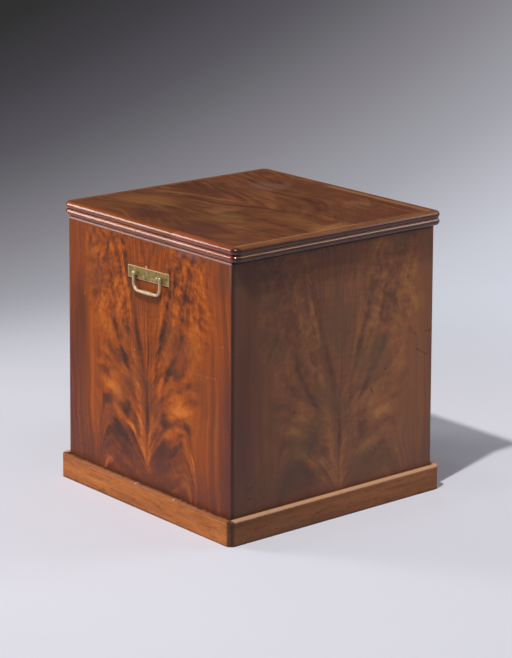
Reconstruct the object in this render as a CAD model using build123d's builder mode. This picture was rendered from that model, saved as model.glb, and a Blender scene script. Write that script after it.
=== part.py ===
from build123d import *

import math
import os

# An antique mahogany wine cooler: a square dovetailed chest with flame veneers, a planted
# plinth, a hinged lid with a twin-reeded edge, a bail handle on each side and a zinc lining.
# Millimetres. X runs across the front to the right, Y from front to back, Z up. The origin is
# the centre of the plinth, on the floor.

# Case
case_width = 450.0
case_depth = 450.0
case_height = 470.0  # floor to the top of the case, under the lid
board = 20.0  # pine carcass boards
veneer = 2.0  # saw-cut mahogany
case_corner = 4.0  # upright corners, rounded after veneering
foot_gap = 2.0  # the sides stop short of the floor, and the plinth carries them
tail_count = 6
tail_slope = 1 / 6
tail_share = 0.62  # widest part of a tail, as a share of the spacing

# Bottom board, housed in grooves, with glue blocks under it
bottom_board = 14.0
bottom_height = 45.0
bottom_groove = 6.0
block_leg = 24.0
block_length = 80.0
block_spacing = 220.0

# Solid mahogany rim that caps the carcass
rim_height = 5.0
rim_arris = 3.5

# Plinth
plinth_height = 42.5
plinth_projection = 12.0
plinth_corner = 13.0
plinth_arris = 2.2

# Zinc lining
zinc = 0.8
lining_play = 0.4
flange_width = 6.0
flange_rebate = 1.5
tack_count = 6  # on each side
tack_shank = 0.8
tack_head = 1.6
tack_head_height = 0.5
tack_length = 3.0
tack_end_space = 28.0

# Lid
lid_gap = 0.3
lid_thickness = 24.0
lid_veneer_thickness = 1.5
lid_backing = 1.0  # thin veneer on the underside
overhang_left = 3.0
overhang_right = 8.5
overhang_front = 12.0
overhang_back = 12.0
edge_width = 14.0  # plan width of the reeded edging
edge_corner = 14.0
reed_count = 2
reed_depth = 4.0
seam_from_front = 165.0  # where the left edging has been renewed
seam_slant = 12.0  # degrees off square

# Butt hinges
hinge_inset = 85.0  # from the side of the case to the middle of the hinge
hinge_length = 60.0
hinge_knuckles = 5
leaf_thickness = 1.6
leaf_reach = 14.5  # from the back of the case to the front of the leaf
barrel_radius = 4.0
pin_radius = 1.6
axis_offset = 1.0  # hinge axis behind the back of the case
pin_play = 0.05
knuckle_gap = 0.3
swing_play = 0.3
hinge_screw_length = 16.0
hinge_screw_spacing = 20.0

# Bail handles
handle_drop = 62.5  # from the top of the case to the pivots
left_handle_shift = -5.5  # towards the front
left_handle_tilt = 1.5  # degrees, front end high, as it was fitted
plate_length = 112.0
plate_height = 21.0
plate_thickness = 1.6
plate_chamfer = 0.4
plate_screw_inset = 7.5
bail_spacing = 72.0  # between the centre lines of the legs
bail_drop = 29.5
bail_rod = 2.6
bail_corner = 13.0
grip_radius = 3.5
grip_length = 42.0
pivot_stand = 5.0  # pivot axis out from the case
eye_radius = 3.0
lug_radius = 3.4
lug_width = 3.5
lug_play = 0.35
bail_pin = 1.6
bail_pin_play = 0.08

# Screws
screw_shank = 1.5
screw_head = 2.9
screw_play = 0.05
slot_width = 0.6
slot_depth = 0.5
handle_screw_length = 14.0

# Worked out from the above
half_width = case_width / 2
half_depth = case_depth / 2
carcass_x = half_width - veneer
carcass_y = half_depth - veneer
inner_x = carcass_x - board
inner_y = carcass_y - board
rim_low = case_height - rim_height
board_height = rim_low - foot_gap
case_corner_round = min(case_corner, 3.4 * veneer)  # never bares the carcass
lid_low = case_height + lid_gap
lid_top = lid_low + lid_thickness
lid_left = -half_width - overhang_left
lid_right = half_width + overhang_right
lid_front = -half_depth - overhang_front
lid_back = half_depth + overhang_back
hinge_y = half_depth + axis_offset
hinge_z = case_height + lid_gap / 2
handle_height = case_height - handle_drop
screw_head_depth = screw_head - screw_shank

os.makedirs("parts", exist_ok=True)


def keep(piece, name):
    """Name a finished piece and write it."""
    piece.part.label = name
    export_step(piece.part, f"parts/{name}.step")


def mitred_plan(left, right, front, back, width, side):
    """Plan of one side of a mitred frame: side 0 is the front, 1 right, 2 back, 3 left."""
    outer = [(left, front), (right, front), (right, back), (left, back)]
    inset = [(width, width), (-width, width), (-width, -width), (width, -width)]
    inner = [(x + dx, y + dy) for (x, y), (dx, dy) in zip(outer, inset)]
    after = (side + 1) % 4
    with BuildSketch() as plan:
        with BuildLine():
            Polyline(outer[side], outer[after], inner[after], inner[side], close=True)
        make_face()
    return plan.sketch


def rounded_slab(width, depth, low_z, height, corner, arris):
    """A slab round the middle with rounded corners and a rounded top arris."""
    with BuildPart() as slab:
        with BuildSketch(Plane.XY.offset(low_z)):
            RectangleRounded(width, depth, corner)
        extrude(amount=height)
        fillet(slab.faces().sort_by(Axis.Z)[-1].edges(), arris)
    return slab.part


def countersunk_screw(length, play, slotted):
    """A wood screw, or with play and no slot the hole that it goes in."""
    shank = screw_shank + play
    head = screw_head + play
    with BuildPart() as screw:
        with BuildSketch(Plane.XZ):
            with BuildLine():
                Polyline(
                    (0, 0),
                    (head, 0),
                    (shank, -screw_head_depth),
                    (shank, -length + shank),
                    (0, -length),
                    close=True,
                )
            make_face()
        revolve(axis=Axis.Z)
        if slotted:
            with BuildSketch(Plane.XY.offset(-slot_depth)):
                Rectangle(3 * screw_head, slot_width)
            extrude(amount=2 * slot_depth, mode=Mode.SUBTRACT)
    return screw.part


def copies(solid, places):
    """Copies of one solid at each place."""
    with BuildPart() as group:
        with Locations(*places):
            add(solid)
    return group


def hinge_rod(low_x, length, radius):
    """A rod along the lid's hinge axis."""
    with BuildPart() as rod:
        with BuildSketch(Plane.YZ.offset(low_x)):
            with Locations((hinge_y, hinge_z)):
                Circle(radius)
        extrude(amount=length)
    return rod.part


# Places of the fastenings

hinge_middles = {"left": hinge_inset - half_width, "right": half_width - hinge_inset}
leaf_front = half_depth - leaf_reach
leaf_screw_y = (leaf_front + hinge_y - barrel_radius - swing_play) / 2
leaf_screw_points = [
    (middle + shift * hinge_screw_spacing, leaf_screw_y)
    for middle in hinge_middles.values()
    for shift in (-1, 0, 1)
]
case_screw_places = [Plane(origin=(x, y, case_height), z_dir=(0, 0, 1)) for x, y in leaf_screw_points]
lid_screw_places = [Plane(origin=(x, y, lid_low), z_dir=(0, 0, -1)) for x, y in leaf_screw_points]
hinge_screw = countersunk_screw(hinge_screw_length, 0, True)
hinge_screw_hole = countersunk_screw(hinge_screw_length, screw_play, False)
case_screw_holes = copies(hinge_screw_hole, case_screw_places).part
lid_screw_holes = copies(hinge_screw_hole, lid_screw_places).part

tilt = math.radians(left_handle_tilt)
handle_planes = {
    "left": Plane(
        origin=(-half_width, left_handle_shift, handle_height),
        x_dir=(0, -math.cos(tilt), math.sin(tilt)),
        z_dir=(-1, 0, 0),
    ),
    "right": Plane(origin=(half_width, 0, handle_height), x_dir=(0, 1, 0), z_dir=(1, 0, 0)),
}
plate_screw_x = plate_length / 2 - plate_screw_inset
handle_screw = countersunk_screw(handle_screw_length, 0, True)
handle_screw_hole = countersunk_screw(handle_screw_length, screw_play, False)
handle_screw_places = {
    side: [
        Plane(origin=plane.from_local_coords((x, 0, plate_thickness)), x_dir=plane.x_dir, z_dir=plane.z_dir)
        for x in (-plate_screw_x, plate_screw_x)
    ]
    for side, plane in handle_planes.items()
}

# Carcass: dovetailed pine boards

tail_pitch = board_height / tail_count
tail_tip = tail_pitch * tail_share
tail_root = tail_tip - 2 * board * tail_slope


def dovetails(low_x):
    """The tails at both ends of a side board, from its low face at low_x."""
    with BuildPart() as tails:
        with BuildSketch(Plane.YZ.offset(low_x)):
            for end in (-1, 1):
                for index in range(tail_count):
                    middle = foot_gap + (index + 0.5) * tail_pitch
                    with BuildLine():
                        Polyline(
                            (end * inner_y, middle - tail_root / 2),
                            (end * carcass_y, middle - tail_tip / 2),
                            (end * carcass_y, middle + tail_tip / 2),
                            (end * inner_y, middle + tail_root / 2),
                            close=True,
                        )
                    make_face()
        extrude(amount=board)
    return tails.part


tails = {"left": dovetails(-carcass_x), "right": dovetails(inner_x)}

with BuildPart() as case_bottom:
    with BuildSketch(Plane.XY.offset(bottom_height)):
        Rectangle(2 * (inner_x + bottom_groove), 2 * (inner_y + bottom_groove))
    extrude(amount=bottom_board)
keep(case_bottom, "case_bottom")

for name, end in (("case_front", -1), ("case_back", 1)):
    with BuildPart() as end_board:
        with BuildSketch(Plane.XY.offset(foot_gap)):
            with Locations((0, end * (carcass_y - board / 2))):
                Rectangle(2 * carcass_x, board)
        extrude(amount=board_height)
        add(tails["left"], mode=Mode.SUBTRACT)
        add(tails["right"], mode=Mode.SUBTRACT)
        add(case_bottom.part, mode=Mode.SUBTRACT)
        if name == "case_back":
            add(case_screw_holes, mode=Mode.SUBTRACT)
    keep(end_board, name)

for side, end in (("left", -1), ("right", 1)):
    with BuildPart() as side_board:
        with BuildSketch(Plane.XY.offset(foot_gap)):
            with Locations((end * (carcass_x - board / 2), 0)):
                Rectangle(board, 2 * inner_y)
        extrude(amount=board_height)
        add(tails[side])
        add(case_bottom.part, mode=Mode.SUBTRACT)
        with Locations(*handle_screw_places[side]):
            add(handle_screw_hole, mode=Mode.SUBTRACT)
    keep(side_board, f"case_{side}")

# Glue blocks in the angle under the bottom board

with BuildPart() as glue_block:
    with BuildSketch(Plane.YZ.offset(-block_length / 2)):
        with BuildLine():
            Polyline((0, 0), (block_leg, 0), (0, -block_leg), close=True)
        make_face()
    extrude(amount=block_length)

block_places = [
    Plane(
        origin=(
            middle * across[0] + inner_x * -inward[0],
            middle * across[1] + inner_y * -inward[1],
            bottom_height,
        ),
        x_dir=(inward[1], -inward[0], 0),
        z_dir=(0, 0, 1),
    )
    for inward, across in (((0, 1), (1, 0)), ((-1, 0), (0, 1)), ((0, -1), (1, 0)), ((1, 0), (0, 1)))
    for middle in (-block_spacing / 2, block_spacing / 2)
]
keep(copies(glue_block.part, block_places), "glue_blocks")

# Flame veneers: those on the front and back lap the edges of the side ones

with BuildPart() as rounded_column:
    with BuildSketch():
        RectangleRounded(case_width, case_depth, case_corner_round)
    extrude(amount=case_height)

for name, end in (("veneer_front", -1), ("veneer_back", 1)):
    with BuildPart() as end_veneer:
        with BuildSketch(Plane.XY.offset(foot_gap)):
            with Locations((0, end * (half_depth - veneer / 2))):
                Rectangle(case_width, veneer)
        extrude(amount=board_height)
        add(rounded_column.part, mode=Mode.INTERSECT)
    keep(end_veneer, name)

for side, end in (("left", -1), ("right", 1)):
    with BuildPart() as side_veneer:
        with BuildSketch(Plane.XY.offset(foot_gap)):
            with Locations((end * (half_width - veneer / 2), 0)):
                Rectangle(veneer, 2 * carcass_y)
        extrude(amount=board_height)
        add(rounded_column.part, mode=Mode.INTERSECT)
        with Locations(*handle_screw_places[side]):
            add(handle_screw_hole, mode=Mode.SUBTRACT)
    keep(side_veneer, f"veneer_{side}")

# Plinth, planted round the foot of the case with mitred corners

plinth_x = half_width + plinth_projection
plinth_y = half_depth + plinth_projection
plinth_slab = rounded_slab(
    2 * plinth_x, 2 * plinth_y, 0, plinth_height, plinth_corner, plinth_arris
)

side_names = ["front", "right", "back", "left"]
for side, side_name in enumerate(side_names):
    with BuildPart() as plinth:
        with BuildSketch():
            add(mitred_plan(-plinth_x, plinth_x, -plinth_y, plinth_y, plinth_projection, side))
        extrude(amount=plinth_height)
        add(plinth_slab, mode=Mode.INTERSECT)
    keep(plinth, f"plinth_{side_name}")

# Zinc lining: a soldered box whose flange is let into the rim and tacked down

lining_x = inner_x - lining_play
lining_y = inner_y - lining_play
lining_low = bottom_height + bottom_board
flange_low = case_height - flange_rebate
tack_line_x = inner_x + flange_width / 2
tack_line_y = inner_y + flange_width / 2
tack_steps = [index / (tack_count - 1) - 0.5 for index in range(tack_count)]
tack_span_x = 2 * (inner_x - tack_end_space)
tack_span_y = 2 * (inner_y - tack_end_space)
tack_places = [
    (x, y, flange_low + zinc)
    for step in tack_steps
    for x, y in (
        (step * tack_span_x, -tack_line_y),
        (step * tack_span_x, tack_line_y),
        (-tack_line_x, step * tack_span_y),
        (tack_line_x, step * tack_span_y),
    )
]


def tack(play):
    """A flat-headed tack, or with play the hole that its shank goes in."""
    with BuildPart() as nail:
        with BuildSketch():
            Circle(tack_shank + play)
        extrude(amount=-tack_length)
        if play == 0:
            with BuildSketch():
                Circle(tack_head)
            extrude(amount=tack_head_height, taper=20)
    return nail.part


tack_holes = copies(tack(screw_play), tack_places).part

with BuildPart() as zinc_lining:
    with BuildSketch(Plane.XY.offset(lining_low)):
        Rectangle(2 * lining_x, 2 * lining_y)
    extrude(amount=flange_low + zinc - lining_low)
    offset(amount=-zinc, openings=zinc_lining.faces().sort_by(Axis.Z)[-1])
    with BuildSketch(Plane.XY.offset(flange_low)):
        Rectangle(2 * (inner_x + flange_width), 2 * (inner_y + flange_width))
        Rectangle(2 * (lining_x - zinc), 2 * (lining_y - zinc), mode=Mode.SUBTRACT)
    extrude(amount=zinc)
    add(tack_holes, mode=Mode.SUBTRACT)
keep(zinc_lining, "zinc_lining")

keep(copies(tack(0), tack_places), "lining_tacks")

# Rim: mitred mahogany strips on top of the carcass, rebated for the flange

leaf_pocket_length = hinge_length + 2 * knuckle_gap

with BuildPart() as rim_cuts:
    with BuildSketch(Plane.XY.offset(flange_low)):
        Rectangle(
            2 * (inner_x + flange_width + lining_play),
            2 * (inner_y + flange_width + lining_play),
        )
    extrude(amount=2 * flange_rebate)
    with BuildSketch(Plane.XY.offset(case_height - leaf_thickness)):
        for middle in hinge_middles.values():
            with Locations((middle, (leaf_front + hinge_y) / 2)):
                Rectangle(leaf_pocket_length, hinge_y - leaf_front)
    extrude(amount=2 * leaf_thickness)
    for middle in hinge_middles.values():
        add(hinge_rod(middle - leaf_pocket_length / 2, leaf_pocket_length, barrel_radius + swing_play))
    add(case_screw_holes)
    add(tack_holes)

rim_slab = rounded_slab(
    case_width, case_depth, rim_low, rim_height, case_corner_round, min(rim_arris, case_corner_round - 0.2)
)

for side, side_name in enumerate(side_names):
    with BuildPart() as rim:
        with BuildSketch(Plane.XY.offset(rim_low)):
            add(mitred_plan(-half_width, half_width, -half_depth, half_depth, veneer + board, side))
        extrude(amount=rim_height)
        add(rim_slab, mode=Mode.INTERSECT)
        add(rim_cuts.part, mode=Mode.SUBTRACT)
    keep(rim, f"rim_{side_name}")

# Butt hinges, let into the rim and into the underside of the lid

knuckle_length = (hinge_length - (hinge_knuckles - 1) * knuckle_gap) / hinge_knuckles
leaf_root = hinge_y - pin_radius - (barrel_radius - pin_radius) / 2


def knuckles(middle, first, radius, reach):
    """Every second knuckle of a hinge, each longer by reach at both ends."""
    start = middle - hinge_length / 2
    with BuildPart() as rods:
        for index in range(first, hinge_knuckles, 2):
            low_x = start + index * (knuckle_length + knuckle_gap)
            add(hinge_rod(low_x - reach, knuckle_length + 2 * reach, radius))
    return rods.part


def hinge_leaf(middle, low_z, first, screw_holes):
    """One leaf with every second knuckle, starting with the one given."""
    with BuildPart() as leaf:
        with BuildSketch(Plane.XY.offset(low_z)):
            with Locations((middle, (leaf_front + leaf_root) / 2)):
                Rectangle(hinge_length, leaf_root - leaf_front)
        extrude(amount=leaf_thickness)
        add(
            knuckles(middle, 1 - first, barrel_radius + swing_play, knuckle_gap),
            mode=Mode.SUBTRACT,
        )
        add(knuckles(middle, first, barrel_radius, 0))
        add(hinge_rod(middle - hinge_length, 2 * hinge_length, pin_radius + pin_play), mode=Mode.SUBTRACT)
        add(screw_holes, mode=Mode.SUBTRACT)
    return leaf


for side, middle in hinge_middles.items():
    case_leaf = hinge_leaf(middle, case_height - leaf_thickness, 0, case_screw_holes)
    keep(case_leaf, f"hinge_{side}_case_leaf")
    lid_leaf = hinge_leaf(middle, lid_low, 1, lid_screw_holes)
    keep(lid_leaf, f"hinge_{side}_lid_leaf")
    with BuildPart() as hinge_pin:
        add(hinge_rod(middle - hinge_length / 2, hinge_length, pin_radius))
        chamfer(hinge_pin.edges(), pin_radius / 4)
    keep(hinge_pin, f"hinge_{side}_pin")

keep(copies(hinge_screw, case_screw_places), "hinge_case_screws")
keep(copies(hinge_screw, lid_screw_places), "hinge_lid_screws")

# Lid: veneered pine core in a mitred, twin-reeded edging

with BuildPart() as lid_cuts:
    with BuildSketch(Plane.XY.offset(lid_low - leaf_thickness)):
        for middle in hinge_middles.values():
            with Locations((middle, (leaf_front + hinge_y) / 2)):
                Rectangle(leaf_pocket_length, hinge_y - leaf_front)
    extrude(amount=2 * leaf_thickness)
    for middle in hinge_middles.values():
        add(hinge_rod(middle - leaf_pocket_length / 2, leaf_pocket_length, barrel_radius + swing_play))
    add(lid_screw_holes)

core_low = lid_low + lid_backing
core_high = lid_top - lid_veneer_thickness
field_layers = {
    "lid_backing_veneer": (lid_low, core_low),
    "lid_core": (core_low, core_high),
    "lid_top_veneer": (core_high, lid_top),
}
for name, (low, high) in field_layers.items():
    with BuildPart() as layer:
        with BuildSketch(Plane.XY.offset(low)):
            with Locations(((lid_left + lid_right) / 2, (lid_front + lid_back) / 2)):
                Rectangle(
                    lid_right - lid_left - 2 * edge_width,
                    lid_back - lid_front - 2 * edge_width,
                )
        extrude(amount=high - low)
        add(lid_cuts.part, mode=Mode.SUBTRACT)
    keep(layer, name)

lid_middle = (lid_left + lid_right) / 2
reed_height = lid_thickness / reed_count


def planed_away(lid_end):
    """What the moulding plane took off outside the reeds, from the middle of the front round
    one end of the lid to the middle of the back."""
    with BuildPart() as waste:
        with BuildLine() as half_outline:
            FilletPolyline(
                (lid_middle, lid_front, lid_low),
                (lid_end, lid_front, lid_low),
                (lid_end, lid_back, lid_low),
                (lid_middle, lid_back, lid_low),
                radius=edge_corner,
            )
        with BuildSketch(
            Plane(origin=(lid_middle, lid_front, lid_low), x_dir=(0, 1, 0), z_dir=(1, 0, 0))
        ):
            with BuildLine():
                for index in range(reed_count):
                    ThreePointArc(
                        (reed_depth, index * reed_height),
                        (0, (index + 0.5) * reed_height),
                        (reed_depth, (index + 1) * reed_height),
                    )
                Polyline(
                    (reed_depth, lid_thickness),
                    (reed_depth, lid_thickness + 1),
                    (-1, lid_thickness + 1),
                    (-1, -1),
                    (reed_depth, -1),
                    (reed_depth, 0),
                )
            make_face()
        sweep(path=half_outline.wire())
    return waste.part


with BuildPart() as reeded_slab:
    with BuildSketch(Plane.XY.offset(lid_low)):
        with Locations((lid_middle, (lid_front + lid_back) / 2)):
            RectangleRounded(lid_right - lid_left, lid_back - lid_front, edge_corner)
    extrude(amount=lid_thickness)
    add(planed_away(lid_left), mode=Mode.SUBTRACT)
    add(planed_away(lid_right), mode=Mode.SUBTRACT)

for side, side_name in enumerate(side_names):
    with BuildPart() as edging:
        with BuildSketch(Plane.XY.offset(lid_low)):
            add(mitred_plan(lid_left, lid_right, lid_front, lid_back, edge_width, side))
        extrude(amount=lid_thickness)
        add(reeded_slab.part, mode=Mode.INTERSECT)
        if side_name == "back":
            add(lid_cuts.part, mode=Mode.SUBTRACT)
    if side_name != "left":
        keep(edging, f"lid_edge_{side_name}")

# The left edging, last made, is in two lengths that meet at a slanted butt

seam_y = lid_front + seam_from_front
seam_angle = math.radians(seam_slant)
seam = Plane(
    origin=(lid_left, seam_y, lid_low),
    z_dir=(math.sin(seam_angle), math.cos(seam_angle), 0),
)
for name, kept_side in (("lid_edge_left", Keep.TOP), ("lid_edge_left_repair", Keep.BOTTOM)):
    with BuildPart() as length:
        add(edging.part)
        split(bisect_by=seam, keep=kept_side)
    keep(length, name)

# Bail handles

bail_half = bail_spacing / 2
lug_inner = bail_half - eye_radius - lug_play - lug_width


def across_handle(plane, x):
    """A plane square to the handle's pivot axis, x along it."""
    return Plane(origin=plane.from_local_coords((x, 0, 0)), x_dir=plane.y_dir, z_dir=plane.x_dir)


for side, plane in handle_planes.items():
    with BuildPart() as plate:
        with BuildSketch(plane):
            Rectangle(plate_length, plate_height)
        extrude(amount=plate_thickness)
        chamfer(plate.faces().sort_by(Axis(plane.origin, plane.z_dir))[-1].edges(), plate_chamfer)
        for low in (-lug_inner - lug_width, lug_inner):
            with BuildSketch(across_handle(plane, low)):
                with Locations((0, pivot_stand)):
                    Circle(lug_radius)
                with Locations((0, pivot_stand / 2)):
                    Rectangle(2 * lug_radius, pivot_stand)
            extrude(amount=lug_width)
            with BuildSketch(across_handle(plane, low)):
                with Locations((0, pivot_stand)):
                    Circle(bail_pin + bail_pin_play)
            extrude(amount=lug_width, mode=Mode.SUBTRACT)
        with Locations(*handle_screw_places[side]):
            add(handle_screw_hole, mode=Mode.SUBTRACT)
    keep(plate, f"handle_{side}_plate")

    pivot_plane = plane.offset(pivot_stand)
    with BuildPart() as bail:
        with BuildLine(pivot_plane) as bail_line:
            FilletPolyline(
                (-bail_half, 0),
                (-bail_half, -bail_drop),
                (bail_half, -bail_drop),
                (bail_half, 0),
                radius=bail_corner,
            )
        with BuildSketch(Plane(origin=bail_line.line @ 0, z_dir=bail_line.line % 0)):
            Circle(bail_rod)
        sweep()
        with BuildSketch(pivot_plane):
            with BuildLine():
                ThreePointArc(
                    (-grip_length / 2, -bail_drop + bail_rod * 0.9),
                    (0, -bail_drop + grip_radius),
                    (grip_length / 2, -bail_drop + bail_rod * 0.9),
                )
                Polyline(
                    (grip_length / 2, -bail_drop + bail_rod * 0.9),
                    (grip_length / 2, -bail_drop),
                    (-grip_length / 2, -bail_drop),
                    (-grip_length / 2, -bail_drop + bail_rod * 0.9),
                )
            make_face()
        grip_start = pivot_plane.from_local_coords((0, -bail_drop, 0))
        revolve(axis=Axis(grip_start, plane.x_dir))
        with Locations(
            pivot_plane.from_local_coords((-bail_half, 0, 0)),
            pivot_plane.from_local_coords((bail_half, 0, 0)),
        ):
            Sphere(eye_radius)
        for low in (-bail_half, lug_inner):
            with BuildSketch(across_handle(pivot_plane, low)):
                Circle(bail_pin)
            extrude(amount=bail_half - lug_inner)
    keep(bail, f"handle_{side}_bail")

    screws = copies(handle_screw, handle_screw_places[side])
    keep(screws, f"handle_{side}_screws")
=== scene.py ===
import functools
import math

import bpy
from mathutils import Matrix, Vector

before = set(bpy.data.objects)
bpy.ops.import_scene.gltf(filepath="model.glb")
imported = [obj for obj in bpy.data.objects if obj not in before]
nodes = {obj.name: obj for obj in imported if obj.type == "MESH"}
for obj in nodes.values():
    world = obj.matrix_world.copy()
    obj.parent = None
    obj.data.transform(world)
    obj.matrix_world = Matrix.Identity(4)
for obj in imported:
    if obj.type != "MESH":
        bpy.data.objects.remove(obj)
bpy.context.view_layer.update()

SIDES = ("front", "back", "left", "right")


def span(name, axis):
    """The lowest and the highest place of a node along an axis."""
    places = [vertex.co[axis] for vertex in nodes[name].data.vertices]
    return min(places), max(places)


# Sizes in metres, read from the model's parts
HALF = span("veneer_right", 0)[1]  # half the case
CASE_TOP = span("rim_front", 2)[1]
PLINTH_TOP = span("plinth_front", 2)[1]
LID_LOW, LID_TOP = span("lid_edge_front", 2)
REED = (LID_TOP - LID_LOW) / 2

# The handles' backplates, in metres and degrees
PIVOT_HEIGHT = CASE_TOP - 0.0625
HALF_PLATE_LENGTH = 0.056
HALF_PLATE_HEIGHT = 0.0105
PLATE_PLACES = {"left": (-0.0055, 1.5), "right": (0.0, 0.0)}  # middle along Y, tilt


def tint(red, green, blue):
    """A colour given as it looks, 0 to 255, as the linear colour that shaders take."""
    linear = []
    for value in (red, green, blue):
        share = value / 255
        linear.append(share / 12.92 if share <= 0.04045 else ((share + 0.055) / 1.055) ** 2.4)
    return (*linear, 1.0)


class Field:
    """A number, colour or vector that varies over a surface, with arithmetic."""

    def __init__(self, paint, socket):
        self.paint = paint
        self.socket = socket

    def __add__(self, other):
        return self.paint.math("ADD", self, other)

    def __sub__(self, other):
        return self.paint.math("SUBTRACT", self, other)

    def __rsub__(self, other):
        return self.paint.math("SUBTRACT", other, self)

    def __mul__(self, other):
        return self.paint.math("MULTIPLY", self, other)

    def __truediv__(self, other):
        return self.paint.math("DIVIDE", self, other)

    def __neg__(self):
        return self.paint.math("MULTIPLY", self, -1.0)

    __radd__ = __add__
    __rmul__ = __mul__


class Paint:
    """A material put together from fields. x, y and z are places on the object, in metres."""

    def __init__(self, name):
        self.material = bpy.data.materials.new(name)
        self.material.use_nodes = True
        self.nodes = self.material.node_tree.nodes
        self.links = self.material.node_tree.links
        self.nodes.clear()
        place = self.nodes.new("ShaderNodeTexCoord").outputs["Object"]
        split = self.node("ShaderNodeSeparateXYZ", Vector=Field(self, place))
        self.x, self.y, self.z = (Field(self, socket) for socket in split.outputs)

    def feed(self, socket, value):
        if isinstance(value, Field):
            self.links.new(value.socket, socket)
        else:
            socket.default_value = value

    def node(self, kind, **inputs):
        made = self.nodes.new(kind)
        for name, value in inputs.items():
            self.feed(made.inputs[name.replace("_", " ")], value)
        return made

    def math(self, operation, *values):
        made = self.nodes.new("ShaderNodeMath")
        made.operation = operation
        for socket, value in zip(made.inputs, values):
            self.feed(socket, value)
        return Field(self, made.outputs[0])

    def size(self, value):
        return self.math("ABSOLUTE", value)

    def least(self, a, b):
        return self.math("MINIMUM", a, b)

    def most(self, a, b):
        return self.math("MAXIMUM", a, b)

    def rise(self, value, low, high, start=0.0, end=1.0):
        """Goes smoothly from start to end as value goes from low to high."""
        made = self.node("ShaderNodeMapRange")
        made.interpolation_type = "SMOOTHSTEP"
        if low > high:
            low, high, start, end = high, low, end, start
        self.feed(made.inputs["Value"], value)
        for name, number in (("From Min", low), ("From Max", high), ("To Min", start), ("To Max", end)):
            if made.inputs[name].default_value != number:
                made.inputs[name].default_value = number
        return Field(self, made.outputs["Result"])

    def band(self, value, low, high, soft):
        """1 where value is from low to high, with soft edges."""
        return self.rise(value, low - soft, low) * self.rise(value, high + soft, high)

    def point(self, x, y, z=0.0):
        return Field(self, self.node("ShaderNodeCombineXYZ", X=x, Y=y, Z=z).outputs[0])

    def noise(self, x, y, z=0.0, detail=2.0, rough=0.5):
        """Noise about 0, mostly within 0.5 of it. A place times 40 gives 40 lumps to a metre."""
        made = self.node(
            "ShaderNodeTexNoise", Vector=self.point(x, y, z), Scale=1.0, Detail=detail, Roughness=rough
        )
        return self.math("MULTIPLY_ADD", Field(self, made.outputs["Fac"]), 2.0, -1.0)

    def specks(self, x, y, z, size):
        """1 in small round specks, one at most to a unit cell."""
        made = self.node("ShaderNodeTexVoronoi", Vector=self.point(x, y, z), Scale=1.0, Randomness=1.0)
        return self.rise(Field(self, made.outputs["Distance"]), size, size * 0.55)

    def oval(self, place, middle, half):
        """Distance from the middle of an oval, 1 on its outline. place is a point from point()."""
        made = self.node("ShaderNodeMapping", Vector=place, Location=(*middle, 0.0), Scale=(*half, 1.0))
        made.vector_type = "TEXTURE"
        gap = self.node("ShaderNodeVectorMath", Vector=Field(self, made.outputs[0]))
        gap.operation = "LENGTH"
        return Field(self, gap.outputs["Value"])

    def ramp(self, value, stops):
        """Colours along a value from 0 to 1."""
        made = self.node("ShaderNodeValToRGB", Fac=value)
        fill_ramp(made, stops)
        return Field(self, made.outputs["Color"])

    def mix(self, share, a, b):
        """Colour a where share is 0 and b where it is 1."""
        made = self.nodes.new("ShaderNodeMix")
        made.data_type = "RGBA"
        for index, value in ((0, share), (6, a), (7, b)):
            self.feed(made.inputs[index], value)
        return Field(self, made.outputs[2])

    def surface(self, colour, roughness, relief, depth, **fixed):
        """The finished surface. Relief is a height from about -1 to 1, in units of depth."""
        shader = self.node("ShaderNodeBsdfPrincipled", Base_Color=colour, Roughness=roughness, **fixed)
        bump = self.node("ShaderNodeBump", Height=relief, Distance=depth)
        self.links.new(bump.outputs["Normal"], shader.inputs["Normal"])
        return self.finish(shader)

    def finish(self, shader):
        output = self.nodes.new("ShaderNodeOutputMaterial")
        self.links.new(shader.outputs[0], output.inputs["Surface"])
        return self.material


def fill_ramp(ramp, stops):
    """Gives a colour ramp node its stops of (position, colour)."""
    elements = ramp.color_ramp.elements
    while len(elements) < len(stops):
        elements.new(0.5)
    for element, (position, colour) in zip(elements, stops):
        element.position = position
        element.color = colour


# Flame mahogany. All the veneers are leaves of one crotch: dark and bright trails that lean
# outwards as they rise from a low point, feathered wood on both sides, which breaks up into
# mottle higher up and arches over low down, and straight-grained margins.

# Each trail is its half width, and points of its height and its place across, in metres
DARK_TRAILS = [
    (0.007, [(0.150, 0.001), (0.227, -0.005), (0.295, -0.021), (0.367, -0.042), (0.455, -0.068)]),
    (0.007, [(0.190, 0.012), (0.257, 0.026), (0.367, 0.056), (0.430, 0.066)]),
    (0.0025, [(0.160, 0.000), (0.215, 0.001), (0.290, 0.004)]),
    (0.006, [(0.205, -0.038), (0.250, -0.060), (0.300, -0.090)]),
    (0.007, [(0.215, 0.040), (0.250, 0.060), (0.310, 0.094)]),
    (0.006, [(0.090, -0.010), (0.125, -0.040), (0.140, -0.060)]),
]
BRIGHT_TRAILS = [
    (0.009, [(0.105, -0.006), (0.142, -0.014), (0.257, -0.031), (0.377, -0.056), (0.450, -0.078)]),
    (0.006, [(0.105, 0.004), (0.150, 0.011), (0.240, 0.019), (0.330, 0.037), (0.400, 0.043)]),
    (0.007, [(0.215, -0.026), (0.245, -0.042), (0.305, -0.070)]),
    (0.008, [(0.215, 0.033), (0.245, 0.045), (0.305, 0.069)]),
    (0.008, [(0.088, -0.004), (0.118, -0.024), (0.144, -0.044)]),
    (0.007, [(0.082, 0.004), (0.116, 0.018), (0.150, 0.036)]),
    (0.005, [(0.030, 0.132), (0.075, 0.133), (0.115, 0.126), (0.135, 0.105)]),
]
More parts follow.
